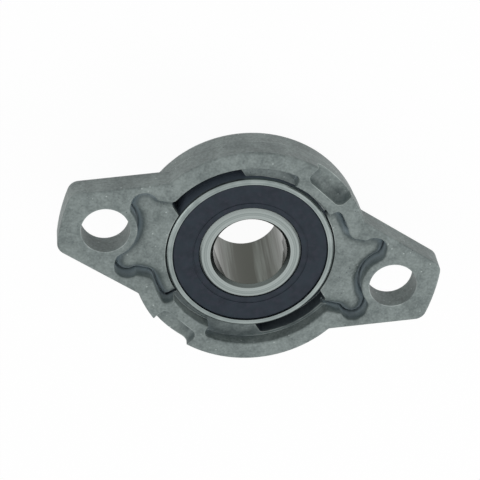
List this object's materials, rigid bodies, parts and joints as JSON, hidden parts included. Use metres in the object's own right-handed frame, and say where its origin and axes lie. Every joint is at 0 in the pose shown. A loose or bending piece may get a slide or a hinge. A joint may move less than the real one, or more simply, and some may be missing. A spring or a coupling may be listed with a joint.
{
  "type": "flanged bearing unit",
  "caption": "Rhombic die-cast flange with a self-aligning sealed ball bearing insert in a spherical seat, for a small shaft that is locked by set screws in the insert's collar.",
  "frame": {"origin": "on the shaft axis, in the plane of the mounting face, midway between the two bolt holes", "axes": "+X through a bolt hole, +Z out of the mounting face along the shaft axis, so that the unit lies below that face and its collar points along -Z"},
  "size_m": [0.0624, 0.0382, 0.016],
  "materials": {
    "zinc_casting": "as-cast, softly tumbled, satin grey",
    "bearing_steel": "ground and superfinished hardened steel",
    "polished_steel": "polished hardened steel",
    "pressed_steel": "plain pressed steel sheet",
    "black_steel": "black oxide steel",
    "seal_rubber": "moulded nitrile rubber, satin black"
  },
  "bodies": {
    "housing": {"housing": "zinc_casting"},
    "insert": {"outer_ring": "bearing_steel", "rear_seal_rubber": "seal_rubber", "rear_seal_washer": "pressed_steel", "front_seal_rubber": "seal_rubber", "front_seal_washer": "pressed_steel"},
    "shaft_ring": {"inner_ring": "bearing_steel"},
    "set_screw_1": {"set_screw_1": "black_steel"},
    "set_screw_2": {"set_screw_2": "black_steel"},
    "cage": {"cage_rear_half": "pressed_steel", "cage_front_half": "pressed_steel", "cage_rivets": "pressed_steel"},
    "ball_1": {"ball_1": "polished_steel"},
    "ball_2": {"ball_2": "polished_steel"},
    "ball_3": {"ball_3": "polished_steel"},
    "ball_4": {"ball_4": "polished_steel"},
    "ball_5": {"ball_5": "polished_steel"},
    "ball_6": {"ball_6": "polished_steel"},
    "ball_7": {"ball_7": "polished_steel"},
    "ball_8": {"ball_8": "polished_steel"}
  },
  "joints": [
    {"name": "align", "type": "hinge", "parent": "housing", "child": "insert", "pos_m": [0, 0, -0.0055], "axis": [1, 0, 0], "range_deg": [-3, 3]},
    {"name": "shaft_spin", "type": "hinge", "parent": "insert", "child": "shaft_ring", "pos_m": [0, 0, -0.0055], "axis": [0, 0, 1], "continuous": true},
    {"name": "cage_orbit", "type": "hinge", "parent": "insert", "child": "cage", "pos_m": [0, 0, -0.0055], "axis": [0, 0, 1], "continuous": true},
    {"name": "ball_1_spin", "type": "hinge", "parent": "cage", "child": "ball_1", "pos_m": [0.01, 0, -0.0055], "axis": [0, 0, 1], "continuous": true},
    {"name": "ball_2_spin", "type": "hinge", "parent": "cage", "child": "ball_2", "pos_m": [0.00707, 0.00707, -0.0055], "axis": [0, 0, 1], "continuous": true},
    {"name": "ball_3_spin", "type": "hinge", "parent": "cage", "child": "ball_3", "pos_m": [0, 0.01, -0.0055], "axis": [0, 0, 1], "continuous": true},
    {"name": "ball_4_spin", "type": "hinge", "parent": "cage", "child": "ball_4", "pos_m": [-0.00707, 0.00707, -0.0055], "axis": [0, 0, 1], "continuous": true},
    {"name": "ball_5_spin", "type": "hinge", "parent": "cage", "child": "ball_5", "pos_m": [-0.01, 0, -0.0055], "axis": [0, 0, 1], "continuous": true},
    {"name": "ball_6_spin", "type": "hinge", "parent": "cage", "child": "ball_6", "pos_m": [-0.00707, -0.00707, -0.0055], "axis": [0, 0, 1], "continuous": true},
    {"name": "ball_7_spin", "type": "hinge", "parent": "cage", "child": "ball_7", "pos_m": [0, -0.01, -0.0055], "axis": [0, 0, 1], "continuous": true},
    {"name": "ball_8_spin", "type": "hinge", "parent": "cage", "child": "ball_8", "pos_m": [0.00707, -0.00707, -0.0055], "axis": [0, 0, 1], "continuous": true},
    {"name": "set_screw_1_travel", "type": "slide", "parent": "shaft_ring", "child": "set_screw_1", "axis": [0.5736, 0.8192, 0], "range_m": [-0.0003, 0.0015]},
    {"name": "set_screw_2_travel", "type": "slide", "parent": "shaft_ring", "child": "set_screw_2", "axis": [-0.9962, 0.0872, 0], "range_m": [-0.0003, 0.0015]}
  ],
  "couplings": [
    {"joint": "cage_orbit", "follows": "shaft_spin", "ratio": 0.38092},
    {"joint": "ball_1_spin", "follows": "shaft_spin", "ratio": -1.9803},
    {"joint": "ball_2_spin", "follows": "shaft_spin", "ratio": -1.9803},
    {"joint": "ball_3_spin", "follows": "shaft_spin", "ratio": -1.9803},
    {"joint": "ball_4_spin", "follows": "shaft_spin", "ratio": -1.9803},
    {"joint": "ball_5_spin", "follows": "shaft_spin", "ratio": -1.9803},
    {"joint": "ball_6_spin", "follows": "shaft_spin", "ratio": -1.9803},
    {"joint": "ball_7_spin", "follows": "shaft_spin", "ratio": -1.9803},
    {"joint": "ball_8_spin", "follows": "shaft_spin", "ratio": -1.9803}
  ]
}
